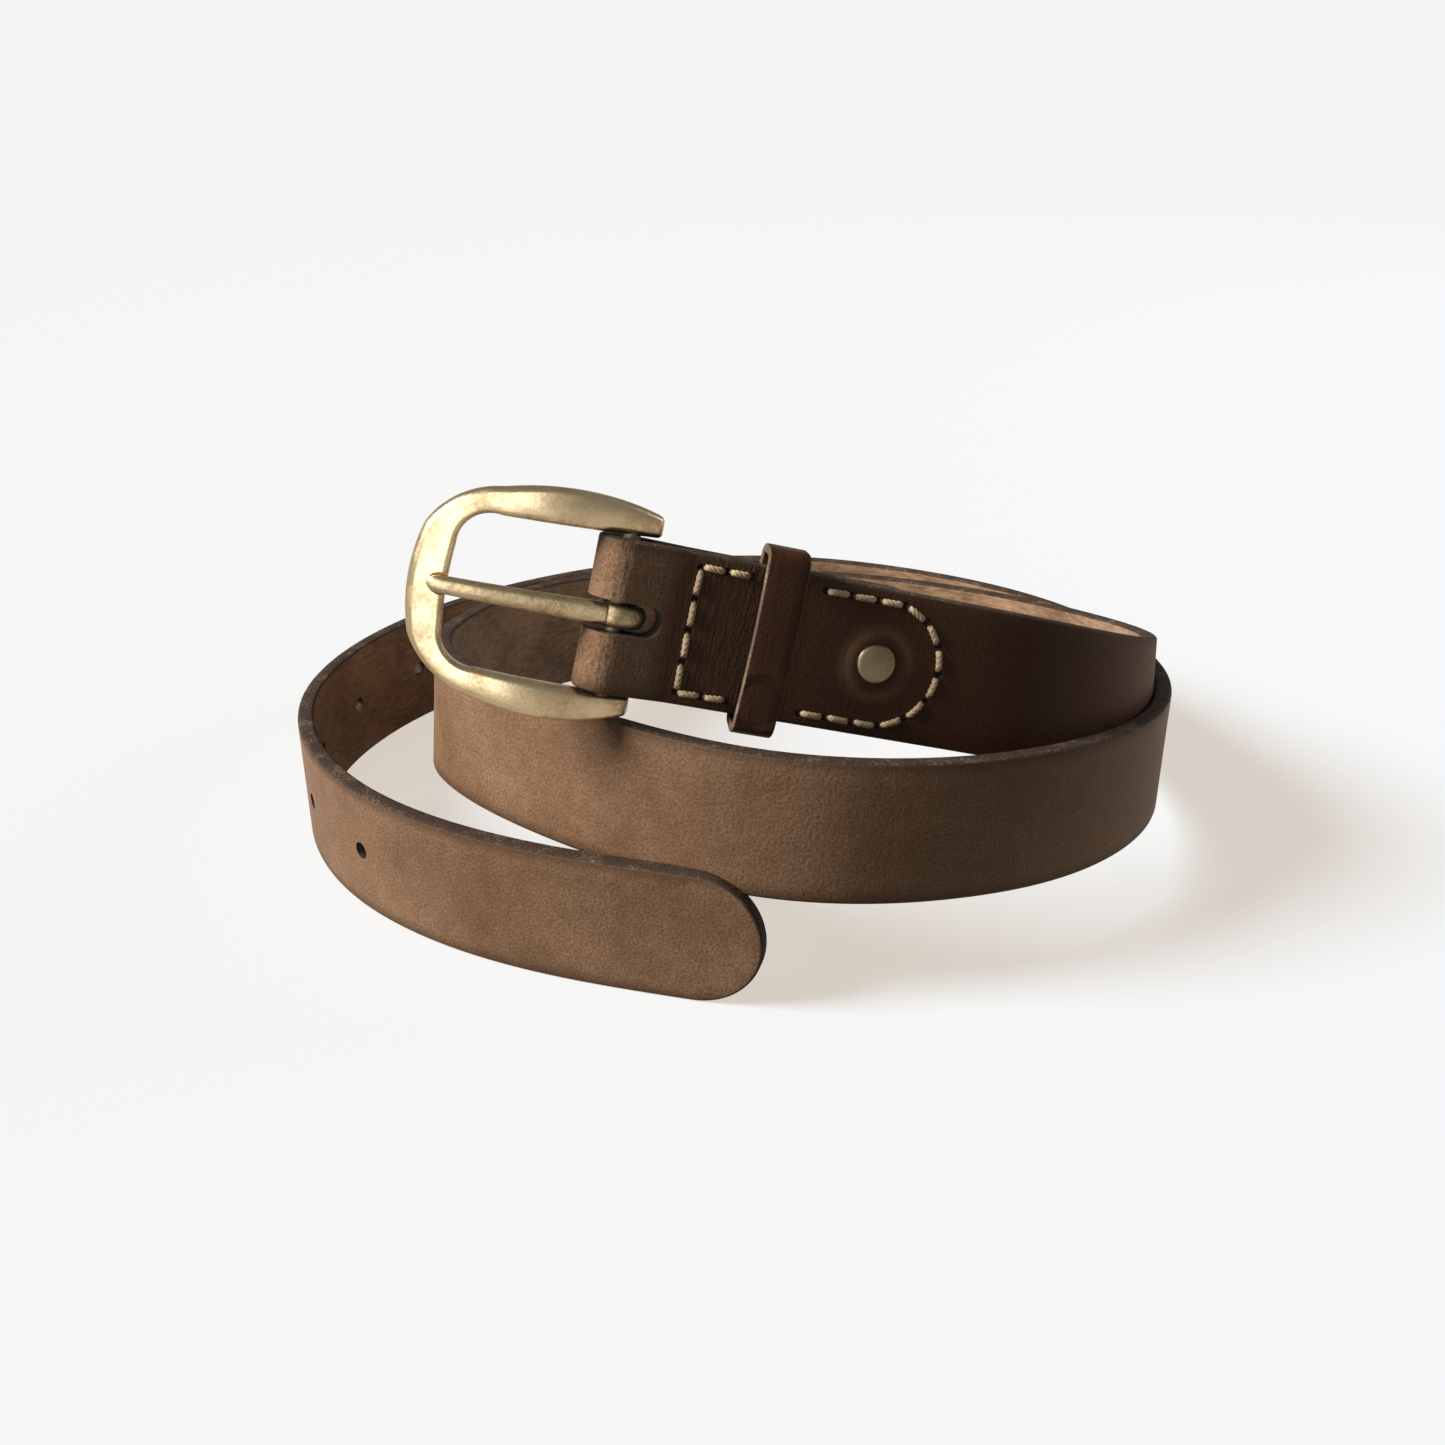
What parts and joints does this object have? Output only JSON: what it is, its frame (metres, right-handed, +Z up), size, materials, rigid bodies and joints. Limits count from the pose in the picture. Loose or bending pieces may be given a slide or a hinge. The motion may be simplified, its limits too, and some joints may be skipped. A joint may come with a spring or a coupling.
{
  "type": "leather belt",
  "caption": "Brown leather belt rolled up on its edge, with a stitched and riveted brass-toned frame buckle, a single tongue and a leather keeper.",
  "frame": {"origin": "middle of the rolled belt's bounding box, at the floor", "axes": "+X to the right along the coil's longest extent, the buckle facing -Y, +Z up from the floor across the strap's width"},
  "size_m": [0.2151, 0.1984, 0.1045],
  "materials": {
    "strap": "satin full-grain leather with fine creases",
    "keeper": "satin full-grain leather, raw edges",
    "buckle_frame": "antiqued, lightly mottled",
    "bar_pin": "plain drawn wire",
    "tongue": "antiqued, rough cast near the ring",
    "rivet_cap": "antiqued, worn",
    "rivet_back": "antiqued",
    "buckle_stitching": "waxed thread",
    "flap_stitching": "waxed thread"
  },
  "bodies": {
    "strap": {"strap": "strap", "rivet_cap": "rivet_cap", "rivet_back": "rivet_back", "buckle_stitching": "buckle_stitching", "flap_stitching": "flap_stitching"},
    "buckle": {"buckle_frame": "buckle_frame", "bar_pin": "bar_pin"},
    "tongue": {"tongue": "tongue"},
    "keeper": {"keeper": "keeper"}
  },
  "joints": [
    {"name": "frame_hinge", "type": "hinge", "parent": "strap", "child": "buckle", "pos_m": [-0.02306, -0.07875, 0.07848], "axis": [0.2078, 0.2227, 0.9525], "range_deg": [-30, 30]},
    {"name": "tongue_hinge", "type": "hinge", "parent": "buckle", "child": "tongue", "pos_m": [-0.02306, -0.07875, 0.07848], "axis": [0.2078, 0.2227, 0.9525], "range_deg": [0, 90]},
    {"name": "keeper_slide", "type": "slide", "parent": "strap", "child": "keeper", "axis": [0.9604, 0.1384, -0.2419], "range_m": [-0.0012, 0.0012]}
  ]
}
